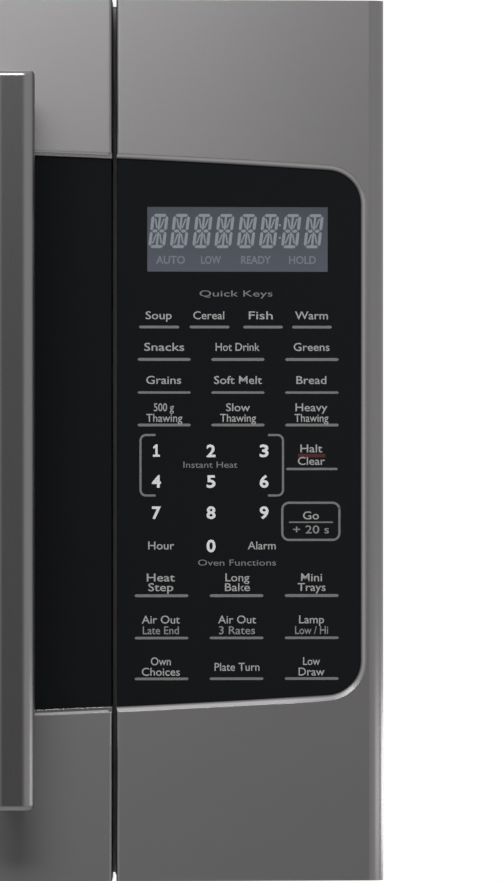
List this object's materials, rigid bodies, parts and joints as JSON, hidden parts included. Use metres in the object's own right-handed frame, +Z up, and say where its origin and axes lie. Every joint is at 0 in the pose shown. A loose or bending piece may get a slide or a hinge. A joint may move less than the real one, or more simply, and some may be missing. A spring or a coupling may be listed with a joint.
{
  "type": "over-the-range microwave oven",
  "caption": "Microwave oven that hangs over a cooktop, with a bowed stainless front, a black glass band, a side-hinged door, a touch panel and a vent blower.",
  "frame": {"origin": "centre of the wall plate on the wall face, on the middle of the width and of the front height", "axes": "+Z up, +Y into the wall, the front faces -Y, +X towards the control panel end"},
  "size_m": [0.7588, 0.4372, 0.4355],
  "materials": {
    "stainless": "brushed along the width",
    "black_glass": "gloss black glass",
    "tray_glass": "clear tempered",
    "clear_film": "clear film",
    "galvanised": "galvanised sheet",
    "case_paint": "satin dark grey paint",
    "cavity_enamel": "light grey enamel",
    "pan_paint": "black enamel",
    "black_plastic": "satin moulded",
    "white_plastic": "satin moulded",
    "filter_aluminium": "satin",
    "magnetron_aluminium": "satin",
    "core_steel": "varnished laminations",
    "copper_winding": "enamelled wire",
    "circuit_board": "solder mask",
    "mica": "pressed mica",
    "bulb_glass": "clear",
    "spring_steel": "bright wire"
  },
  "bodies": {
    "oven": {"back_plate": "galvanised", "base_plate": "case_paint", "blower_housing": "galvanised", "blower_motor": "galvanised", "case_screws": "galvanised", "case_wrap": "case_paint", "cavity_lamp": "bulb_glass", "cavity_liner": "cavity_enamel", "charcoal_filter": "black_plastic", "component_shelf": "galvanised", "control_board": "circuit_board", "control_chassis": "black_plastic", "control_glass": "black_glass", "cooktop_lamps": "bulb_glass", "cord_bush": "black_plastic", "display_module": "black_plastic", "exhaust_adaptor": "galvanised", "fan_motor": "galvanised", "fan_shroud": "black_plastic", "front_frame": "cavity_enamel", "hinge_plates": "galvanised", "hv_capacitor": "galvanised", "interlock_switches": "black_plastic", "lamp_housings": "galvanised", "latch_board": "black_plastic", "magnetron": "magnetron_aluminium", "panel_frame": "stainless", "thermal_cutouts": "galvanised", "top_grille": "case_paint", "touch_film": "clear_film", "transformer_coils": "copper_winding", "transformer_core": "core_steel", "turntable_motor": "galvanised", "wall_plate": "galvanised", "waveguide": "galvanised", "waveguide_cover": "mica"},
    "door": {"door_skin": "stainless", "door_glass": "black_glass", "door_frame": "pan_paint", "choke_cover": "black_plastic", "inner_window": "clear_film", "handle": "stainless", "handle_screws": "galvanised"},
    "latch": {"latch_hooks": "black_plastic", "latch_spring": "spring_steel"},
    "turntable_drive": {"coupler": "white_plastic"},
    "tray": {"glass_tray": "tray_glass"},
    "roller_ring_body": {"roller_ring": "white_plastic"},
    "roller_1_body": {"roller_1": "white_plastic"},
    "roller_2_body": {"roller_2": "white_plastic"},
    "roller_3_body": {"roller_3": "white_plastic"},
    "blower": {"blower_shaft": "galvanised", "blower_wheel_left": "black_plastic", "blower_wheel_right": "black_plastic"},
    "cooling_fan": {"fan_wheel": "black_plastic"},
    "filter_left": {"grease_filter_left": "filter_aluminium"},
    "filter_right": {"grease_filter_right": "filter_aluminium"},
    "lamp_cover_left_body": {"lamp_cover_left": "tray_glass"},
    "lamp_cover_right_body": {"lamp_cover_right": "tray_glass"},
    "damper": {"damper_flap": "galvanised"}
  },
  "joints": [
    {"name": "door_hinge", "type": "hinge", "parent": "oven", "child": "door", "pos_m": [-0.361, -0.367, 0], "axis": [0, 0, -1], "range_deg": [0, 105]},
    {"name": "latch_slide", "type": "slide", "parent": "door", "child": "latch", "axis": [0, 0, 1], "range_m": [0, 0.004], "stiffness_N_per_m": 300, "springref_m": -0.004, "deforming": ["latch_spring"]},
    {"name": "turntable_spin", "type": "hinge", "parent": "oven", "child": "turntable_drive", "pos_m": [-0.0775, -0.185, -0.142], "axis": [0, 0, 1], "continuous": true},
    {"name": "tray_lift", "type": "slide", "parent": "turntable_drive", "child": "tray", "axis": [0, 0, 1], "range_m": [0, 0.06]},
    {"name": "roller_ring_spin", "type": "hinge", "parent": "oven", "child": "roller_ring_body", "pos_m": [-0.0775, -0.185, -0.142], "axis": [0, 0, 1], "continuous": true},
    {"name": "roller_1_spin", "type": "hinge", "parent": "roller_ring_body", "child": "roller_1_body", "pos_m": [0.01949, -0.129, -0.142], "axis": [0.866, 0.5, 0], "continuous": true},
    {"name": "roller_2_spin", "type": "hinge", "parent": "roller_ring_body", "child": "roller_2_body", "pos_m": [-0.1745, -0.129, -0.142], "axis": [-0.866, 0.5, 0], "continuous": true},
    {"name": "roller_3_spin", "type": "hinge", "parent": "roller_ring_body", "child": "roller_3_body", "pos_m": [-0.0775, -0.297, -0.142], "axis": [0, -1, 0], "continuous": true},
    {"name": "blower_spin", "type": "hinge", "parent": "oven", "child": "blower", "pos_m": [0, -0.0797, 0.152], "axis": [1, 0, 0], "continuous": true},
    {"name": "cooling_fan_spin", "type": "hinge", "parent": "oven", "child": "cooling_fan", "pos_m": [0.29, -0.028, 0.05], "axis": [0, 1, 0], "continuous": true},
    {"name": "grease_filter_left_drop", "type": "hinge", "parent": "oven", "child": "filter_left", "pos_m": [-0.262, -0.058, -0.1995], "axis": [1, 0, 0], "range_deg": [0, 70]},
    {"name": "lamp_cover_left_drop", "type": "hinge", "parent": "oven", "child": "lamp_cover_left_body", "pos_m": [-0.095, -0.263, -0.2023], "axis": [1, 0, 0], "range_deg": [0, 80]},
    {"name": "grease_filter_right_drop", "type": "hinge", "parent": "oven", "child": "filter_right", "pos_m": [0.262, -0.058, -0.1995], "axis": [1, 0, 0], "range_deg": [0, 70]},
    {"name": "lamp_cover_right_drop", "type": "hinge", "parent": "oven", "child": "lamp_cover_right_body", "pos_m": [0.095, -0.263, -0.2023], "axis": [1, 0, 0], "range_deg": [0, 80]},
    {"name": "damper_swing", "type": "hinge", "parent": "oven", "child": "damper", "pos_m": [0, -0.0422, 0.214], "axis": [-1, 0, 0], "range_deg": [0, 75]}
  ],
  "couplings": [
    {"joint": "roller_ring_spin", "follows": "turntable_spin", "ratio": 0.5},
    {"joint": "roller_1_spin", "follows": "turntable_spin", "ratio": -7.18},
    {"joint": "roller_2_spin", "follows": "turntable_spin", "ratio": -7.18},
    {"joint": "roller_3_spin", "follows": "turntable_spin", "ratio": -7.18}
  ]
}
